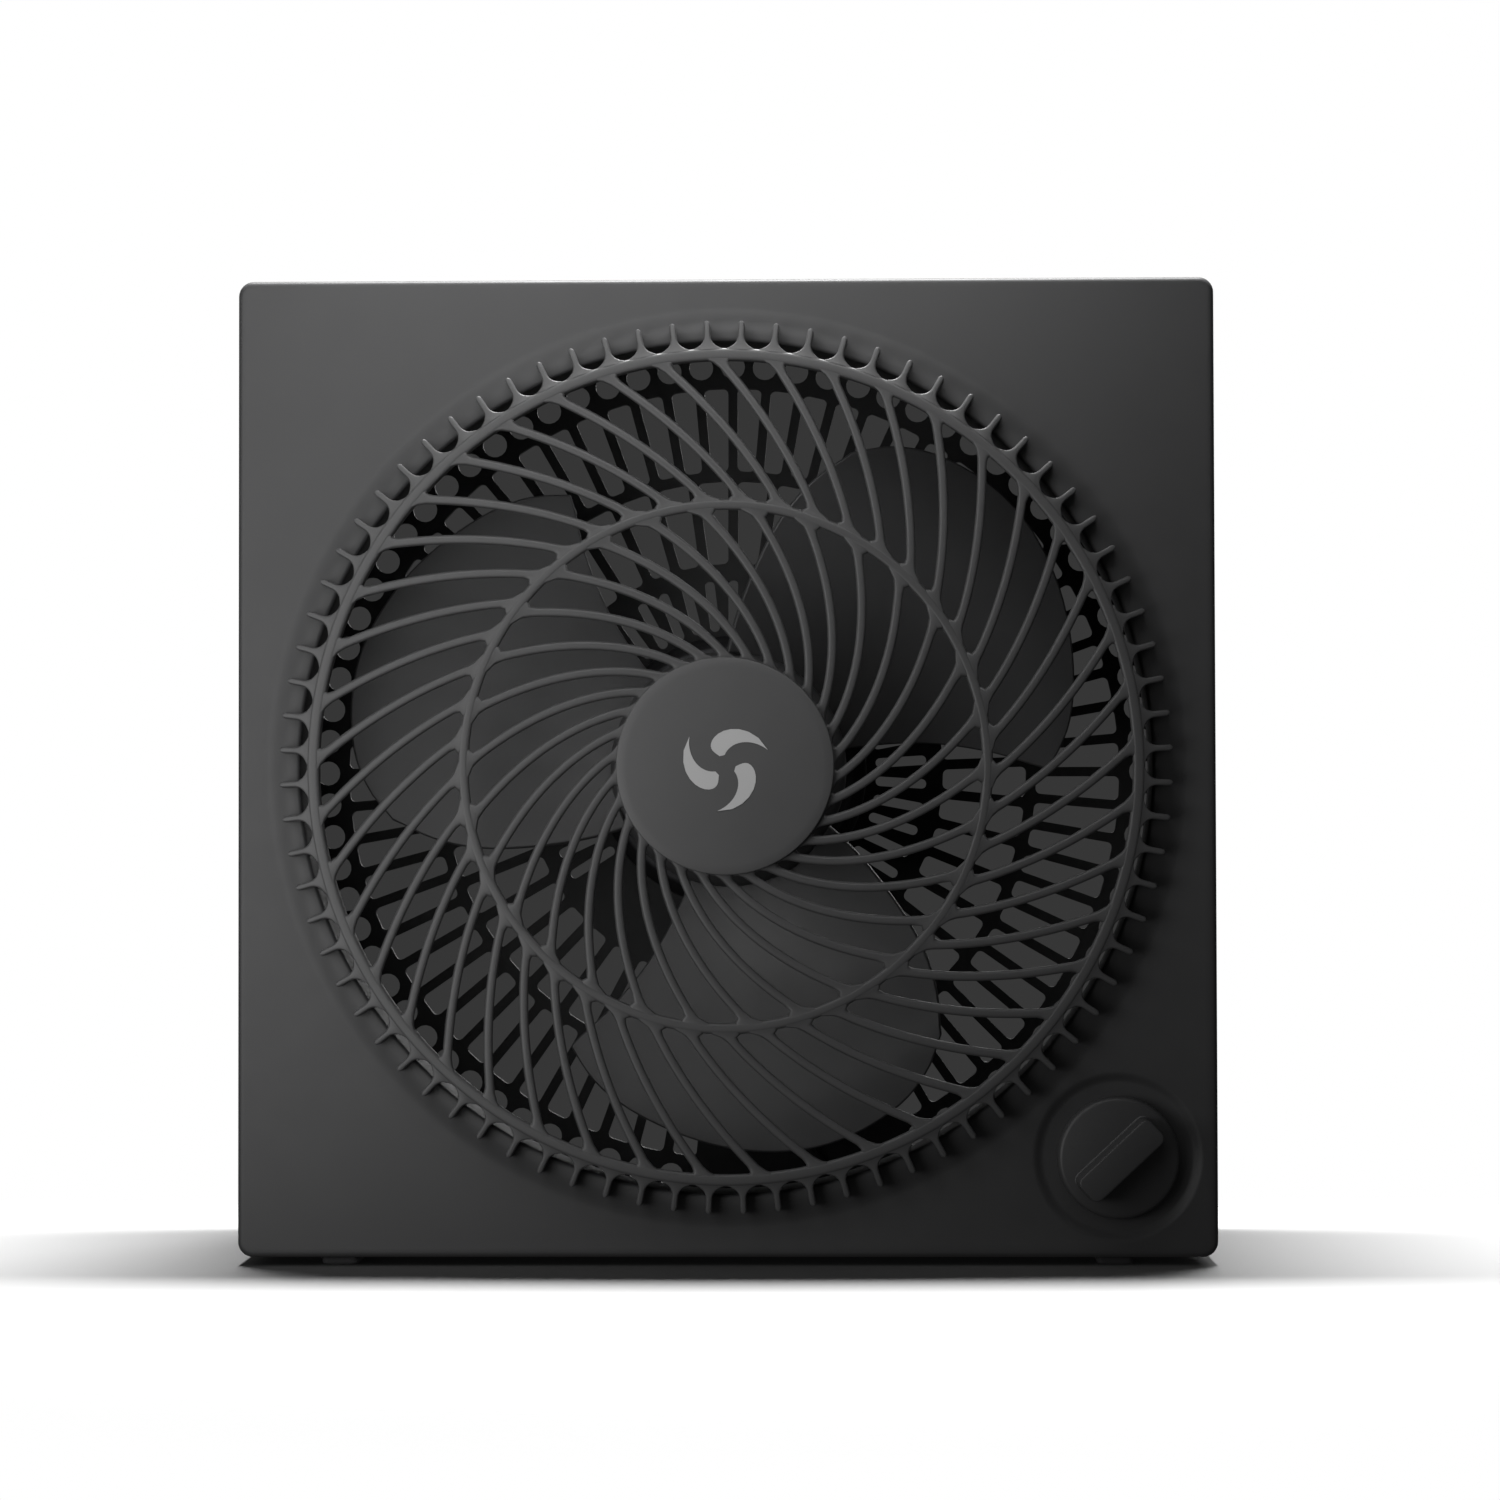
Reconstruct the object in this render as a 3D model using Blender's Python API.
"""Tabletop box fan: a square two-shell case, a spiral front grille, a slotted rear guard that
carries the motor, a three-blade fan on the motor shaft, and a speed knob in a round dish.

Every shape is written in millimetres about the fan's own axis: x to the right, depth from the
front panel towards the back, and z up. The empties place that frame in the world, where the
front faces -Y and the feet stand on z = 0.
"""

import math

import bmesh
import bpy
from mathutils import Vector
from mathutils.geometry import delaunay_2d_cdt

MM = 0.001
GAP = 0.3  # clearance between two pieces that touch

# Case
CASE_HALF = 145.0
CASE_CORNER = 4.5
CASE_DEPTH = 104.0
SPLIT_DEPTH = 45.0  # where the front and rear shells meet
BEZEL_WALL = 2.0
REAR_WALL = 2.5
REAR_EDGE_RADIUS = 5.0
FOOT_HEIGHT = 2.5
REAR_HOLE_RADIUS = 138.0

# Front opening and grille
DUCT_RADIUS = 125.0
DUCT_DEPTH = 16.0
CREST_RISE = 5.5  # how far the collar stands in front of the panel
COLLAR_RADIUS = 139.5
GRILLE_FRONT = -8.3
GRILLE_BACK = -(CREST_RISE + GAP)
GRILLE_HUB_RADIUS = 32.5
MID_RING = (75.4, 79.0)
OUTER_RING = (119.8, 123.4)
TOOTH_RADIUS = 131.7
TOOTH_COUNT = 80
TOOTH_WIDTH = 1.8
TOOTH_START = 2.25
INNER_RIBS = 30
OUTER_RIBS = 45
RIB_HALF = 1.35
SPIRAL = 0.86  # tangent of the angle between a rib and the radius
INNER_RIB_START = 0.2
OUTER_RIB_START = 5.1
CAP_RADIUS = 32.2

# Rear guard
GUARD_RADIUS = 140.3
GUARD_THICK = 2.5
GUARD_BACK = CASE_DEPTH - REAR_WALL - GAP
GUARD_FRONT = GUARD_BACK - GUARD_THICK
GUARD_LUG = 106.0  # x and z of the four fixing lugs
WIRING_SECTOR = (264.0, 297.0)
PLATE_SECTOR = (214.0, 300.0)

# Fan
HUB_RADIUS = 36.0
HUB_FRONT = 26.0
HUB_BACK = 52.0
BLADE_COUNT = 3
BLADE_START = 0.0
BLADE_THICK = 2.0
BLADE_FRONT = 27.0
BLADE_BACK = 50.5
TIP_RADIUS = 118.8
SHAFT_RADIUS = 3.9
SHAFT_ENDS = (19.0, 97.0)

# Motor
MOTOR_RADIUS = 42.5
MOTOR_FRONT = 62.0
MOTOR_SPLIT = 79.0
MOTOR_BACK = 96.0
STATOR_DEPTHS = (70.0, 88.0)
ROTOR_RADIUS = 20.0
POLE_COUNT = 4
MOTOR_SCREW_RADIUS = 33.0

# Speed control
KNOB_X = 115.5
KNOB_Z = -115.5
DISH_RADIUS = 23.5
DISH_DEPTH = 2.0
KNOB_RADIUS = 17.9
KNOB_FRONT = -4.0
GRIP_FRONT = -14.0
GRIP_HALF = (14.4, 4.25)
GRIP_ANGLE = 43.0
SWITCH_HALF = 13.0
SWITCH_DEPTHS = (5.0, 21.0)

# Fixings and feet
CASE_SCREW = 136.0
PILLAR_RADIUS = 4.5
FOOT_X = 115.0
FOOT_DEPTHS = (12.0, 88.0)
FOOT_HALF = (5.5, 8.0)
INLET_X = 108.0
INLET_Z = -124.0

AXIS_HEIGHT = FOOT_HEIGHT + CASE_HALF
DEPTH_SHIFT = -(CASE_DEPTH + GRIP_FRONT) / 2
CORNERS = [(1, 1), (-1, 1), (-1, -1), (1, -1)]


# ---- small helpers ----------------------------------------------------------------------------


def clear_scene():
    for item in list(bpy.data.objects):
        bpy.data.objects.remove(item, do_unlink=True)


def material(name, colour, roughness, metallic=0.0):
    made = bpy.data.materials.new(name)
    made.use_nodes = True
    shader = made.node_tree.nodes["Principled BSDF"]
    shader.inputs["Base Color"].default_value = (*colour, 1.0)
    shader.inputs["Roughness"].default_value = roughness
    shader.inputs["Metallic"].default_value = metallic
    made.diffuse_color = (*colour, 1.0)
    return made


def empty(name, x, depth, z, parent=None):
    made = bpy.data.objects.new(name, None)
    made.location = (x * MM, depth * MM, z * MM)
    made.parent = parent
    bpy.context.scene.collection.objects.link(made)
    return made


def mesh_from(bm, name):
    """Turn a millimetre bmesh into a metre mesh with outward faces."""
    bmesh.ops.recalc_face_normals(bm, faces=bm.faces)
    bmesh.ops.scale(bm, vec=(MM, MM, MM), verts=bm.verts)
    mesh = bpy.data.meshes.new(name)
    bm.to_mesh(mesh)
    bm.free()
    mesh.shade_smooth()
    mesh.set_sharp_from_angle(angle=math.radians(35))
    return mesh


def place(name, mesh, finish, parent, at=(0.0, 0.0, 0.0), turn=0.0):
    """Link one object; `at` is (x, depth, z) and `turn` is degrees about the depth axis."""
    made = bpy.data.objects.new(name, mesh)
    if not mesh.materials:
        mesh.materials.append(finish)
    made.location = Vector(at) * MM
    made.rotation_euler = (0.0, math.radians(turn), 0.0)
    made.parent = parent
    bpy.context.scene.collection.objects.link(made)
    return made


def helper(name, bm, parent, at=(0.0, 0.0, 0.0), turn=0.0):
    """A solid that only adds to or cuts another one."""
    made = place(name, mesh_from(bm, name), None, parent, at, turn)
    made.hide_render = True
    made.display_type = "WIRE"
    return made


def combine(target, tool, operation):
    modifier = target.modifiers.new(tool.name, "BOOLEAN")
    modifier.operation = operation
    modifier.solver = "EXACT"
    modifier.object = tool


def polar(radius, degrees):
    angle = math.radians(degrees)
    return (radius * math.cos(angle), radius * math.sin(angle))


def circle(radius, count, centre=(0.0, 0.0)):
    steps = (polar(radius, 360 * (i + 0.5) / count) for i in range(count))
    return [(centre[0] + x, centre[1] + z) for x, z in steps]


def rounded_square(half, corner, steps=3):
    points = []
    for quarter, (sx, sz) in enumerate(CORNERS):
        centre = (sx * (half - corner), sz * (half - corner))
        for i in range(steps + 1):
            x, z = polar(corner, 90 * (quarter + i / steps))
            points.append((centre[0] + x, centre[1] + z))
    return points


def fill(bm, loops, depth):
    """Fill the area between nested outlines in one plane and return the new faces."""
    points, outlines = [], []
    for loop in loops:
        outlines.append(list(range(len(points), len(points) + len(loop))))
        points += [Vector(point) for point in loop]
    flat, _, faces, _, _, inside_of = delaunay_2d_cdt(points, [], outlines, 1, 1e-5)
    verts = [bm.verts.new((x, depth, z)) for x, z in flat]
    kept = [face for face, owners in zip(faces, inside_of) if len(owners) % 2]
    return [bm.faces.new([verts[i] for i in face]) for face in kept]


def push(bm, faces, depth):
    """Extrude faces straight to another depth."""
    edges = list(dict.fromkeys(edge for face in faces for edge in face.edges))
    grown = bmesh.ops.extrude_face_region(bm, geom=faces + edges)["geom"]
    for item in grown:
        if isinstance(item, bmesh.types.BMVert):
            item.co.y = depth


def plate(loops, front, back):
    bm = bmesh.new()
    push(bm, fill(bm, loops, front), back)
    return bm


def disc(radius, front, back, count=24, centre=(0.0, 0.0)):
    return plate([circle(radius, count, centre)], front, back)


def tube(radius, bore, front, back, count=24):
    return plate([circle(radius, count), circle(bore, count)], front, back)


def hex_nut(radius, bore, front, back):
    return plate([circle(radius, 6), circle(bore, 16)], front, back)


def block(x_range, depth_range, z_range):
    x0, x1 = x_range
    z0, z1 = z_range
    return plate([[(x0, z0), (x1, z0), (x1, z1), (x0, z1)]], *depth_range)


def bridge(bm, one, two):
    """Quads between two closed rows of vertices of the same length."""
    count = len(one)
    for i in range(count):
        j = (i + 1) % count
        bm.faces.new((one[i], one[j], two[j], two[i]))


def row(bm, outline, depth):
    return [bm.verts.new((x, depth, z)) for x, z in outline]


def lathe(profile, count=24, closed=True):
    """Turn a (radius, depth) profile about the fan axis."""
    bm = bmesh.new()
    rings = [row(bm, circle(radius, count), depth) for radius, depth in profile]
    for one, two in zip(rings, rings[1:]):
        bridge(bm, one, two)
    if closed:
        bridge(bm, rings[-1], rings[0])
    else:
        bm.faces.new(rings[0])
        bm.faces.new(list(reversed(rings[-1])))
    return bm


def peg(profile, count=12):
    """A solid turned piece: like a lathe profile, with both ends filled."""
    return lathe(profile, count, closed=False)


# ---- case ------------------------------------------------------------------------------------


def sheet_shell(name, build_sheet, wall, finish, parent):
    """A moulded shell: an open outer skin that Solidify thickens inwards."""
    bm = bmesh.new()
    build_sheet(bm)
    bmesh.ops.remove_doubles(bm, verts=bm.verts, dist=0.001)
    shell = place(name, mesh_from(bm, name), finish, parent)
    thicken = shell.modifiers.new("wall", "SOLIDIFY")
    thicken.thickness = wall * MM
    thicken.offset = -1.0
    thicken.use_even_offset = True
    thicken.use_quality_normals = True
    return shell


COLLAR = [
    (DUCT_RADIUS, DUCT_DEPTH),
    (DUCT_RADIUS, 1.5 - CREST_RISE),
    (DUCT_RADIUS + 1.2, -CREST_RISE),
    (DUCT_RADIUS + 3.4, -CREST_RISE),
    (DUCT_RADIUS + 8.5, -0.45 * CREST_RISE),
    (COLLAR_RADIUS, 0.0),
]
SWITCH_HOLE = 5.0


def bezel_sheet(bm):
    around = 48
    rings = [row(bm, circle(radius, around), depth) for radius, depth in COLLAR]
    for one, two in zip(rings, rings[1:]):
        bridge(bm, one, two)
    edge = 1.5
    inner = rounded_square(CASE_HALF - edge, CASE_CORNER - edge)
    outer = rounded_square(CASE_HALF, CASE_CORNER)
    knob = (KNOB_X, KNOB_Z)
    fill(bm, [inner, circle(COLLAR_RADIUS, around), circle(DISH_RADIUS, 20, knob)], 0.0)
    skirt = [row(bm, inner, 0.0), row(bm, outer, edge), row(bm, outer, SPLIT_DEPTH)]
    for one, two in zip(skirt, skirt[1:]):
        bridge(bm, one, two)
    dish = [
        row(bm, circle(DISH_RADIUS, 20, knob), 0.0),
        row(bm, circle(DISH_RADIUS - 1.5, 20, knob), DISH_DEPTH),
        row(bm, circle(SWITCH_HOLE, 20, knob), DISH_DEPTH),
    ]
    for one, two in zip(dish, dish[1:]):
        bridge(bm, one, two)


def make_bezel(finish, parent):
    bezel = sheet_shell("front_bezel", bezel_sheet, BEZEL_WALL, finish, parent)
    for index, (sx, sz) in enumerate(CORNERS):
        at = (sx * CASE_SCREW, 0.0, sz * CASE_SCREW)
        pillar = disc(PILLAR_RADIUS, 0.5 * BEZEL_WALL, SPLIT_DEPTH, 8)
        combine(bezel, helper(f"bezel_pillar_{index}", pillar, parent, at), "UNION")
        hole = disc(1.6, SPLIT_DEPTH - 14, SPLIT_DEPTH + 5, 8)
        combine(bezel, helper(f"bezel_hole_{index}", hole, parent, at), "DIFFERENCE")
    cut_foot_holes(bezel, FOOT_DEPTHS[0], parent)
    return bezel


def rear_sheet(bm):
    edge = REAR_EDGE_RADIUS
    outline = rounded_square(CASE_HALF, CASE_CORNER)
    rows = [row(bm, outline, SPLIT_DEPTH + GAP)]
    for i in range(4):
        bend = math.radians(30 * i)
        inset = edge * (1 - math.cos(bend))
        corner = max(CASE_CORNER - inset, 0.4)
        depth = CASE_DEPTH - edge + edge * math.sin(bend)
        rows.append(row(bm, rounded_square(CASE_HALF - inset, corner), depth))
    for one, two in zip(rows, rows[1:]):
        bridge(bm, one, two)
    back = [(v.co.x, v.co.z) for v in rows[-1]]
    fill(bm, [back, circle(REAR_HOLE_RADIUS, 48)], CASE_DEPTH)


def make_rear_housing(finish, parent):
    housing = sheet_shell("rear_housing", rear_sheet, REAR_WALL, finish, parent)
    shoulder = SPLIT_DEPTH + 8
    for index, (sx, sz) in enumerate(CORNERS):
        at = (sx * CASE_SCREW, 0.0, sz * CASE_SCREW)
        pillar = disc(PILLAR_RADIUS, SPLIT_DEPTH + GAP, CASE_DEPTH - 1, 8)
        combine(housing, helper(f"rear_pillar_{index}", pillar, parent, at), "UNION")
        bore = disc(3.1, shoulder, CASE_DEPTH + 5, 8)
        combine(housing, helper(f"rear_bore_{index}", bore, parent, at), "DIFFERENCE")
        hole = disc(1.8, SPLIT_DEPTH - 5, shoulder + 1, 8)
        combine(housing, helper(f"rear_hole_{index}", hole, parent, at), "DIFFERENCE")
        at = (sx * GUARD_LUG, 0.0, sz * GUARD_LUG)
        seat = peg([(1.7, CASE_DEPTH - 5), (1.7, CASE_DEPTH - 1.4),
                    (3.3, CASE_DEPTH - 1.4), (3.3, CASE_DEPTH + 5)], 8)
        combine(housing, helper(f"guard_seat_{index}", seat, parent, at), "DIFFERENCE")
    inlet = disc(7.3, CASE_DEPTH - 9, CASE_DEPTH + 5, 20)
    inlet_cutter = helper("inlet_cutter", inlet, parent, (INLET_X, 0.0, INLET_Z))
    combine(housing, inlet_cutter, "DIFFERENCE")
    cut_foot_holes(housing, FOOT_DEPTHS[1], parent)
    return housing


def cut_foot_holes(shell, depth, parent):
    for side in (-1, 1):
        bm = disc(2.5, -6.0, 6.0, 12)
        bmesh.ops.rotate(bm, matrix=quarter_turn(), verts=bm.verts)
        at = (side * FOOT_X, depth, -CASE_HALF)
        tool = helper(f"{shell.name}_foot_hole_{side + 1}", bm, parent, at)
        combine(shell, tool, "DIFFERENCE")


def quarter_turn():
    """Lays a piece that was turned about the depth axis upright, back end up."""
    return Vector((0, 1, 0)).rotation_difference(Vector((0, 0, 1))).to_matrix()


def make_feet(finish, parent):
    x, y = FOOT_HALF
    bm = plate([[(-x, -y), (x, -y), (x, y), (-x, y)]], -FOOT_HEIGHT, -GAP)
    bmesh.ops.rotate(bm, matrix=quarter_turn(), verts=bm.verts)
    mesh = mesh_from(bm, "foot")
    stem = disc(2.2, -1.0, 5.0, 12)
    bmesh.ops.rotate(stem, matrix=quarter_turn(), verts=stem.verts)
    stem_mesh = mesh_from(stem, "foot_stem")
    places = [("front_left", -1, 0), ("front_right", 1, 0), ("rear_left", -1, 1), ("rear_right", 1, 1)]
    for name, side, end in places:
        at = (side * FOOT_X, FOOT_DEPTHS[end], -CASE_HALF)
        foot = place(f"foot_{name}", mesh, finish, parent, at)
        stem_tool = place(f"foot_stem_{name}", stem_mesh, finish, parent, at)
        stem_tool.hide_render = True
        stem_tool.display_type = "WIRE"
        combine(foot, stem_tool, "UNION")


# ---- grille and guard ------------------------------------------------------------------------


def rib_gap(inner, outer, start, reference, pitch, steps=3):
    """The opening between one spiral rib and the next; `start` is the rib's angle at `reference`."""
    lean = RIB_HALF * math.sqrt(1 + SPIRAL * SPIRAL)
    radii = [inner * (outer / inner) ** (i / steps) for i in range(steps + 1)]

    def edge(radius, offset, side):
        along = start + offset + math.degrees(SPIRAL * math.log(radius / reference))
        return polar(radius, along + side * math.degrees(lean / radius))

    near = [edge(radius, 0.0, 1) for radius in radii]
    far = [edge(radius, pitch, -1) for radius in reversed(radii)]
    return near + far


def toothed_outline():
    half_base = math.degrees(0.5 * TOOTH_WIDTH / OUTER_RING[1])
    half_tip = math.degrees(0.4 * TOOTH_WIDTH / TOOTH_RADIUS)
    points = []
    for k in range(TOOTH_COUNT):
        angle = TOOTH_START + 360 * k / TOOTH_COUNT
        points.append(polar(OUTER_RING[1], angle - half_base))
        points.append(polar(TOOTH_RADIUS, angle - half_tip))
        points.append(polar(TOOTH_RADIUS, angle + half_tip))
        points.append(polar(OUTER_RING[1], angle + half_base))
    return points


def make_grille(finish, parent):
    middle = 0.5 * (MID_RING[0] + MID_RING[1])
    loops = [toothed_outline()]
    for count, start, inner, outer in (
        (INNER_RIBS, INNER_RIB_START, GRILLE_HUB_RADIUS, MID_RING[0]),
        (OUTER_RIBS, OUTER_RIB_START, MID_RING[1], OUTER_RING[0]),
    ):
        pitch = 360 / count
        loops += [rib_gap(inner, outer, start + k * pitch, middle, pitch) for k in range(count)]
    bm = plate(loops, GRILLE_FRONT, GRILLE_BACK)
    place("front_grille", mesh_from(bm, "front_grille"), finish, parent)


def make_cap(finish, parent):
    back = GRILLE_FRONT - GAP
    cap = peg([(CAP_RADIUS, back), (CAP_RADIUS, back - 1.4), (CAP_RADIUS - 1.2, back - 2.1),
               (14.0, back - 2.6)], 32)
    place("badge_cap", mesh_from(cap, "badge_cap"), finish, parent)


def in_sector(angle, sector):
    return sector[0] < angle % 360 < sector[1]


def slot(inner, outer, angle, half_inner, half_outer):
    """A four-sided slot along a radius; the half widths are in millimetres."""
    left, right = [], []
    for radius, half in ((inner, half_inner), (outer, half_outer)):
        swing = math.degrees(half / radius)
        left.append(polar(radius, angle + swing))
        right.append(polar(radius, angle - swing))
    return [right[0], right[1], left[1], left[0]]


def guard_openings():
    """Three rows of slots, left out where the wiring runs."""
    gaps = []
    for k in range(50):
        angle = 90 + 7.2 * k
        if not in_sector(angle, PLATE_SECTOR):
            gaps.append(slot(45.9, 62.3, angle, 1.55, 1.55))
    for count, inner, outer, bar in ((45, 67.5, 94.3, 3.2), (72, 97.5, 124.4, 3.0)):
        pitch = 360 / count
        for k in range(count):
            angle = 90 + pitch * (k + 0.5)
            if in_sector(angle, WIRING_SECTOR):
                continue
            half = [math.pi * radius / count - bar / 2 for radius in (inner, outer)]
            gaps.append(slot(inner, outer, angle, *half))
    return gaps


def guard_outline():
    """The guard's rim, with a lug at each diagonal."""
    points = []
    for k in range(72):
        angle = 5 * k + 2.5
        from_diagonal = abs((angle - 45) % 90)
        near = min(from_diagonal, 90 - from_diagonal)
        radius = GUARD_RADIUS + (14.5 if near < 3 else 0.0)
        points.append(polar(radius, angle))
    return points


def make_guard(finish, parent):
    bm = plate([guard_outline(), *guard_openings()], GUARD_FRONT, GUARD_BACK)
    guard = place("rear_guard", mesh_from(bm, "rear_guard"), finish, parent)
    for index, (sx, sz) in enumerate(CORNERS):
        at = (sx * GUARD_LUG, 0.0, sz * GUARD_LUG)
        boss = disc(3.8, GUARD_FRONT - 6, GUARD_FRONT + 1, 8)
        combine(guard, helper(f"guard_boss_{index}", boss, parent, at), "UNION")
        hole = disc(1.6, GUARD_FRONT - 5, GUARD_BACK + 2, 8)
        combine(guard, helper(f"guard_hole_{index}", hole, parent, at), "DIFFERENCE")
        x, z = polar(MOTOR_SCREW_RADIUS, 45 + 90 * index)
        hole = disc(1.7, GUARD_FRONT - 2, GUARD_BACK + 2, 8)
        tool = helper(f"motor_screw_hole_{index}", hole, parent, (x, 0.0, z))
        combine(guard, tool, "DIFFERENCE")


# ---- fan and motor ---------------------------------------------------------------------------


def value_at(table, value):
    """The value at a position, from a short table of (position, value) rows."""
    for (x0, y0), (x1, y1) in zip(table, table[1:]):
        if value <= x1:
            return y0 + (y1 - y0) * (value - x0) / (x1 - x0)
    return table[-1][1]


# Tip radius across the blade, from its leading edge (0) to its trailing edge (1).
TIP_SHAPE = [(0, 98.5), (0.12, 106.0), (0.3, 112.3), (0.48, 117.0), (0.66, TIP_RADIUS),
             (0.84, 115.4), (0.94, 110.0), (1.0, 103.5)]
LEADING_EDGE = [(35, 10.5), (58, 8.0), (80, 3.8), (98.5, 0.0), (119, 0.0)]
TRAILING_EDGE = [(35, 90.5), (58, 83.5), (80, 77.5), (93, 73.0), (104, 68.5), (119, 66.5)]


def blade_solid(across=8, out=4):
    """One twisted blade from inside the hub wall to its tip, as a closed sheet."""
    root = HUB_RADIUS - 0.8
    bm = bmesh.new()
    sides = []
    for face_side in (-0.5, 0.5):
        grid = []
        for i in range(across + 1):
            u = i / across
            line = []
            for j in range(out + 1):
                radius = root + (value_at(TIP_SHAPE, u) - root) * j / out
                first = value_at(LEADING_EDGE, radius)
                last = value_at(TRAILING_EDGE, radius)
                x, z = polar(radius, first + (last - first) * u)
                flatten = 1 - 0.35 * (radius - root) / (TIP_RADIUS - root)
                middle = 0.5 * (BLADE_FRONT + BLADE_BACK)
                depth = middle + (0.5 - u) * (BLADE_BACK - BLADE_FRONT) * flatten
                line.append(bm.verts.new((x, depth + face_side * BLADE_THICK, z)))
            grid.append(line)
        sides.append(grid)
    for grid in sides:
        for one, two in zip(grid, grid[1:]):
            for j in range(out):
                bm.faces.new((one[j], one[j + 1], two[j + 1], two[j]))
    rims = []
    for grid in sides:
        rims.append(grid[0] + [line[-1] for line in grid[1:-1]] + grid[-1][::-1]
                    + [line[0] for line in grid[-2:0:-1]])
    bridge(bm, *rims)
    return bm


def make_fan(finish, parent):
    wall = 2.0
    hub = lathe([
        (SHAFT_RADIUS + GAP, HUB_FRONT), (30.0, HUB_FRONT), (HUB_RADIUS, HUB_FRONT + 4),
        (HUB_RADIUS, HUB_BACK), (HUB_RADIUS - wall, HUB_BACK), (HUB_RADIUS - wall, HUB_FRONT + 5),
        (29.0, HUB_FRONT + wall), (8.5, HUB_FRONT + wall), (8.5, HUB_FRONT + 18),
        (SHAFT_RADIUS + GAP, HUB_FRONT + 18),
    ], 32)
    fan = place("fan_blade", mesh_from(hub, "fan_blade"), finish, parent)
    for k in range(BLADE_COUNT):
        turn = -(BLADE_START + 360 * k / BLADE_COUNT)
        tool = helper(f"blade_{k + 1}", blade_solid(), parent, turn=turn)
        combine(fan, tool, "UNION")


def make_motor(finishes, case, spinning):
    shaft_front, shaft_back = SHAFT_ENDS
    shaft = peg([(SHAFT_RADIUS - 0.8, shaft_front), (SHAFT_RADIUS, shaft_front + 1),
                 (SHAFT_RADIUS, shaft_back - 1), (SHAFT_RADIUS - 0.8, shaft_back)])
    place("motor_shaft", mesh_from(shaft, "motor_shaft"), finishes["steel"], spinning)
    bore = SHAFT_RADIUS + GAP
    nut = hex_nut(7.0, bore, HUB_FRONT - 5.5, HUB_FRONT - GAP)
    place("blade_nut", mesh_from(nut, "blade_nut"), finishes["black"], spinning)
    core = tube(ROTOR_RADIUS, bore, STATOR_DEPTHS[0] + 0.5, STATOR_DEPTHS[1] - 0.5, 28)
    place("rotor_core", mesh_from(core, "rotor_core"), finishes["lamination"], spinning)
    washer = mesh_from(tube(6.5, bore, -0.5, 0.5, 16), "thrust_washer")
    for name, depth in (("front", 69.6), ("rear", 88.8)):
        place(f"thrust_washer_{name}", washer, finishes["brass"], case, (0, depth, 0))
    bearing = mesh_from(tube(7.0, SHAFT_RADIUS + 0.1, -3.7, 3.7, 20), "bearing")
    for name, depth in (("front", MOTOR_FRONT + 2.5), ("rear", MOTOR_BACK - 2.5)):
        place(f"bearing_{name}", bearing, finishes["brass"], case, (0, depth, 0))
    make_stator(finishes, case)
    make_motor_shells(finishes["steel_sheet"], case)


def make_stator(finishes, parent):
    """A laminated ring with four inward poles, and a coil round each pole's neck."""
    points = []
    for k in range(POLE_COUNT):
        middle = 360 * k / POLE_COUNT
        neck, shoe = 5.0, 36.0
        low = middle - 360 / POLE_COUNT / 2
        points += [polar(34.0, low + 8 * i) for i in range(4)]
        swing = [math.degrees(neck / radius) for radius in (34.0, 25.0)]
        points += [polar(34.0, middle - swing[0]), polar(25.0, middle - swing[1])]
        points += [polar(22.6, middle - shoe)]
        points += [polar(ROTOR_RADIUS + 0.5, middle + shoe * (i / 3 - 1)) for i in range(7)]
        points += [polar(22.6, middle + shoe)]
        points += [polar(25.0, middle + swing[1]), polar(34.0, middle + swing[0])]
        points += [polar(34.0, low + 90 - 8 * (3 - i)) for i in range(3)]
    core = plate([circle(39.6, 40), points], *STATOR_DEPTHS)
    place("stator_core", mesh_from(core, "stator_core"), finishes["lamination"], parent)
    window = (neck + GAP, 0.5 * (STATOR_DEPTHS[1] - STATOR_DEPTHS[0]) + GAP)
    build = 3.6
    outside = (window[0] + build, window[1] + build)
    loops = [[(-w, -h), (w, -h), (w, h), (-w, h)] for w, h in (outside, window)]
    coil = plate(loops, 25.4, 31.8)
    turn_up = Vector((0, 1, 0)).rotation_difference(Vector((1, 0, 0))).to_matrix()
    bmesh.ops.rotate(coil, matrix=turn_up, verts=coil.verts)
    roll = Vector((0, 0, 1)).rotation_difference(Vector((0, 1, 0))).to_matrix()
    bmesh.ops.rotate(coil, matrix=roll, verts=coil.verts)
    mesh = mesh_from(coil, "coil")
    depth = 0.5 * (STATOR_DEPTHS[0] + STATOR_DEPTHS[1])
    for k in range(POLE_COUNT):
        place(f"coil_{k + 1}", mesh, finishes["copper"], parent, (0, depth, 0), turn=90.0 * k)


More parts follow.
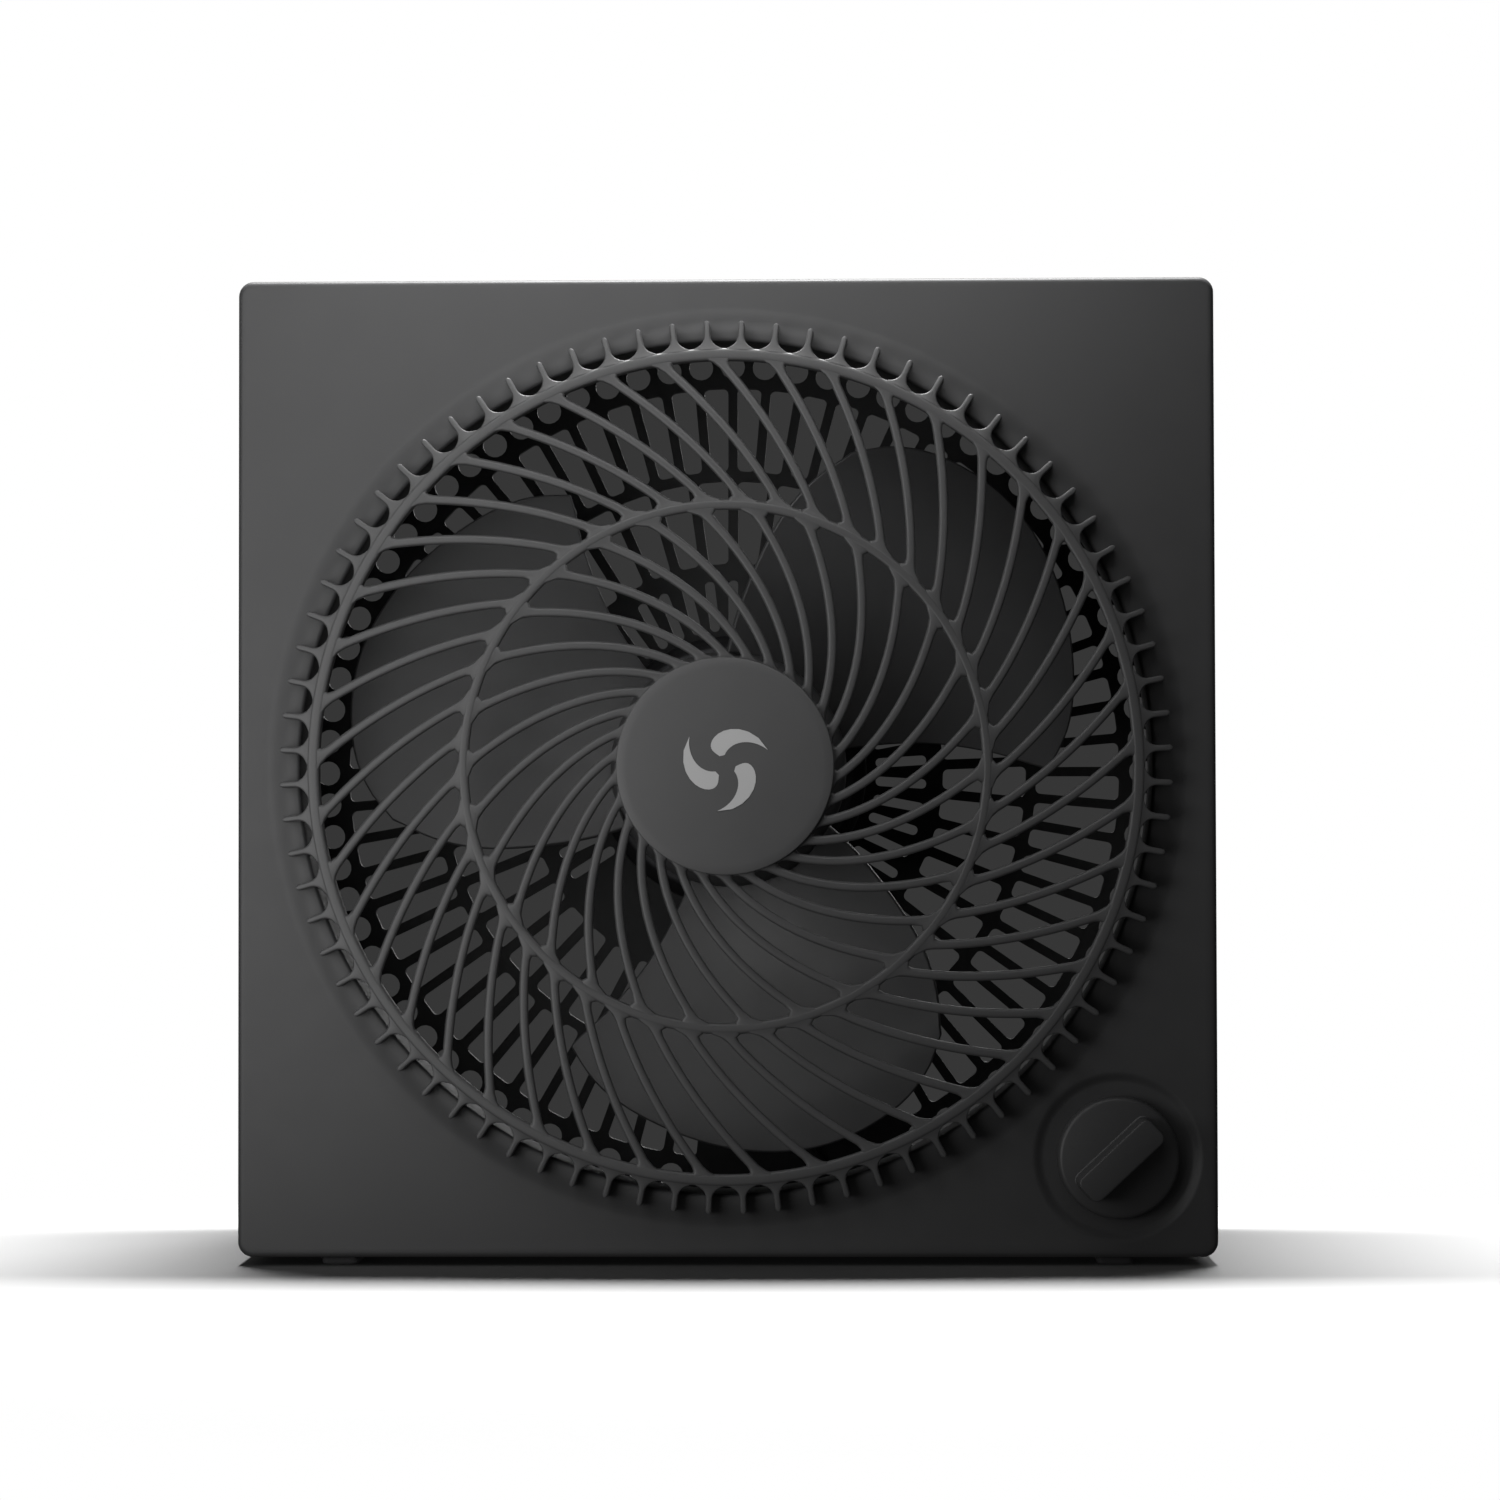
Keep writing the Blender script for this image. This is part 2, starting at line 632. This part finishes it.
def make_motor_shells(finish, parent):
    boss_bore, boss, sheet = 7.3, 9.5, 2.0
    inside = MOTOR_RADIUS - sheet
    for name, end, split, way in (
        ("front", MOTOR_FRONT, MOTOR_SPLIT - GAP / 2, 1),
        ("rear", MOTOR_BACK, MOTOR_SPLIT + GAP / 2, -1),
    ):
        shell = lathe([
            (boss_bore, end - 2 * way), (boss, end - 2 * way), (boss, end), (MOTOR_RADIUS - 4, end),
            (MOTOR_RADIUS, end + 4 * way), (MOTOR_RADIUS, split), (inside, split),
            (inside, end + 4.8 * way), (inside - 3, end + sheet * way), (boss, end + sheet * way),
            (boss, end + 6.5 * way), (boss_bore, end + 6.5 * way),
        ], 20)
        made = place(f"motor_shell_{name}", mesh_from(shell, f"motor_shell_{name}"), finish, parent)
        if name == "front":
            continue
        for index in range(4):
            x, z = polar(MOTOR_SCREW_RADIUS, 45 + 90 * index)
            pad = disc(4.2, end - 0.5 * sheet, GUARD_FRONT - GAP, 8)
            combine(made, helper(f"motor_pad_{index}", pad, parent, (x, 0, z)), "UNION")
            hole = disc(1.7, end - 5, GUARD_FRONT + 3, 8)
            combine(made, helper(f"motor_pad_hole_{index}", hole, parent, (x, 0, z)), "DIFFERENCE")


# ---- speed control ---------------------------------------------------------------------------


def make_switch(finishes, knob_frame, knob_case):
    front, back = SWITCH_DEPTHS
    half = SWITCH_HALF
    body = block((-half, half), (front, back), (-half, half))
    switch = place("rotary_switch", mesh_from(body, "rotary_switch"), finishes["switch"], knob_case)
    bushing = disc(4.7, -0.6, front + 2, 16)
    combine(switch, helper("switch_bushing", bushing, knob_case), "UNION")
    bore = disc(3.3, -3.0, back - 2, 16)
    combine(switch, helper("switch_bore", bore, knob_case), "DIFFERENCE")
    nut = hex_nut(7.2, 5.1, -0.2, DISH_DEPTH - GAP)
    place("switch_nut", mesh_from(nut, "switch_nut"), finishes["steel"], knob_case)
    shaft = peg([(2.4, -9.2), (3.0, -8.5), (3.0, back - 2.5)])
    place("switch_shaft", mesh_from(shaft, "switch_shaft"), finishes["steel"], knob_frame)


def make_knob(finish, knob_frame):
    back = DISH_DEPTH - GAP
    skirt = peg([(KNOB_RADIUS, back), (KNOB_RADIUS, KNOB_FRONT + 1.2), (KNOB_RADIUS - 1.4, KNOB_FRONT)], 32)
    knob = place("speed_knob", mesh_from(skirt, "speed_knob"), finish, knob_frame)
    reach, half = GRIP_HALF
    corner = 1.6
    square = rounded_square(half, corner, 2)
    bar = [(x + math.copysign(reach - half, x), z) for x, z in square]
    grip = plate([bar], KNOB_FRONT + 1, GRIP_FRONT)
    combine(knob, helper("knob_grip", grip, knob_frame, turn=-GRIP_ANGLE), "UNION")
    hollow = disc(KNOB_RADIUS - 2.4, -1.6, back + 3, 24)
    combine(knob, helper("knob_hollow", hollow, knob_frame), "DIFFERENCE")
    bore = disc(3.3, -9.5, 0.0, 16)
    combine(knob, helper("knob_bore", bore, knob_frame), "DIFFERENCE")


# ---- screws, inlet and leads -----------------------------------------------------------------


def screw_mesh(name, shank, length, head, head_height):
    """A screw along the depth axis: its head's seat is at 0 and its tip points forwards."""
    profile = [(0.4 * shank, -length), (shank, -length + 2), (shank, 0.0), (head, 0.0),
               (head, 0.7 * head_height), (0.75 * head, head_height)]
    return mesh_from(peg(profile, 8), name)


def make_screws(finish, parent):
    case = screw_mesh("case_screw", 1.3, 18.0, 2.6, 2.2)
    guard = screw_mesh("guard_screw", 1.2, 8.0, 2.9, 1.1)
    motor = screw_mesh("motor_screw", 1.3, 7.5, 2.9, 1.9)
    names = ("top_right", "top_left", "bottom_left", "bottom_right")
    for index, (name, (sx, sz)) in enumerate(zip(names, CORNERS)):
        at = (sx * CASE_SCREW, SPLIT_DEPTH + 8 + GAP, sz * CASE_SCREW)
        place(f"case_screw_{name}", case, finish, parent, at)
        at = (sx * GUARD_LUG, CASE_DEPTH - 1.1, sz * GUARD_LUG)
        place(f"guard_screw_{name}", guard, finish, parent, at)
        x, z = polar(MOTOR_SCREW_RADIUS, 45 + 90 * index)
        place(f"motor_screw_{name}", motor, finish, parent, (x, GUARD_BACK + GAP, z))


def make_inlet(finish, parent):
    back = CASE_DEPTH - 0.2
    flange = CASE_DEPTH - REAR_WALL - GAP
    bush = lathe([(3.5, back), (7.0, back), (7.0, flange), (9.0, flange), (9.0, flange - 2),
                  (6.0, flange - 2), (5.4, flange - 7), (3.5, flange - 7)], 20)
    place("cord_inlet", mesh_from(bush, "cord_inlet"), finish, parent, (INLET_X, 0, INLET_Z))


def through(points, per_span=6):
    """Points on a smooth curve through the given ones."""
    route = [Vector(point) for point in points]
    ends = [2 * route[0] - route[1], *route, 2 * route[-1] - route[-2]]
    smooth = []
    for a, b, c, d in zip(ends, ends[1:], ends[2:], ends[3:]):
        for i in range(per_span):
            t = i / per_span
            smooth.append(0.5 * (2 * b + (c - a) * t + (2 * a - 5 * b + 4 * c - d) * t * t
                                 + (3 * b - a - 3 * c + d) * t ** 3))
    smooth.append(route[-1])
    return smooth


def make_lead(name, radius, points, finish, parent):
    """A flexible lead as a bevelled curve; points are (x, depth, z)."""
    curve = bpy.data.curves.new(name, "CURVE")
    curve.dimensions = "3D"
    curve.bevel_depth = radius * MM
    curve.bevel_resolution = 2
    curve.use_fill_caps = True
    spots = through(points, 4)
    spline = curve.splines.new("POLY")
    spline.points.add(len(spots) - 1)
    for point, spot in zip(spline.points, spots):
        point.co = (*(spot * MM), 1.0)
    curve.materials.append(finish)
    lead = bpy.data.objects.new(name, curve)
    lead.parent = parent
    bpy.context.scene.collection.objects.link(lead)


SUPPLY_ROUTE = [(INLET_X, 93.5, INLET_Z), (INLET_X, 84, INLET_Z), (114, 58, -119),
                (119.5, 36, -111), (120, 27, -110), (120, 21.7, -110)]
MOTOR_ROUTE = [(7.8, 86, -44.2), (10, 91, -53), (16, 95, -86), (22, 95, -118), (40, 93, -133),
               (70, 82, -136), (93, 60, -134), (107, 38, -125), (110, 27, -121), (110, 21.7, -121)]


def build():
    clear_scene()
    finishes = {
        "case": material("case_plastic", (0.045, 0.045, 0.047), 0.55),
        "grille": material("grille_plastic", (0.055, 0.055, 0.057), 0.5),
        "guard": material("guard_plastic", (0.02, 0.02, 0.021), 0.6),
        "fan": material("fan_plastic", (0.04, 0.04, 0.042), 0.45),
        "cap": material("cap_plastic", (0.05, 0.05, 0.052), 0.45),
        "knob": material("knob_plastic", (0.04, 0.04, 0.042), 0.5),
        "black": material("nut_plastic", (0.03, 0.03, 0.03), 0.5),
        "switch": material("switch_plastic", (0.12, 0.11, 0.1), 0.5),
        "rubber": material("foot_rubber", (0.05, 0.05, 0.05), 0.85),
        "steel": material("bright_steel", (0.6, 0.6, 0.6), 0.3, 1.0),
        "steel_sheet": material("motor_steel", (0.35, 0.35, 0.36), 0.4, 1.0),
        "lamination": material("lamination_steel", (0.25, 0.25, 0.26), 0.5, 1.0),
        "copper": material("copper_wire", (0.6, 0.25, 0.12), 0.35, 1.0),
        "brass": material("bearing_bronze", (0.6, 0.42, 0.2), 0.35, 1.0),
        "lead": material("lead_jacket", (0.03, 0.03, 0.03), 0.6),
    }
    case = empty("case_frame", 0.0, DEPTH_SHIFT, AXIS_HEIGHT)
    spinning = empty("fan_axis", 0.0, DEPTH_SHIFT, AXIS_HEIGHT)
    knob_case = empty("switch_frame", KNOB_X, 0.0, KNOB_Z, case)
    knob_turning = empty("knob_axis", KNOB_X, DEPTH_SHIFT, KNOB_Z + AXIS_HEIGHT)
    make_bezel(finishes["case"], case)
    make_rear_housing(finishes["case"], case)
    make_grille(finishes["grille"], case)
    make_cap(finishes["cap"], case)
    make_guard(finishes["guard"], case)
    make_fan(finishes["fan"], spinning)
    make_motor(finishes, case, spinning)
    make_switch(finishes, knob_turning, knob_case)
    make_knob(finishes["knob"], knob_turning)
    make_feet(finishes["rubber"], case)
    make_screws(finishes["steel"], case)
    make_inlet(finishes["black"], case)
    make_lead("supply_lead", 2.8, SUPPLY_ROUTE, finishes["lead"], case)
    make_lead("motor_lead", 1.8, MOTOR_ROUTE, finishes["lead"], case)


build()
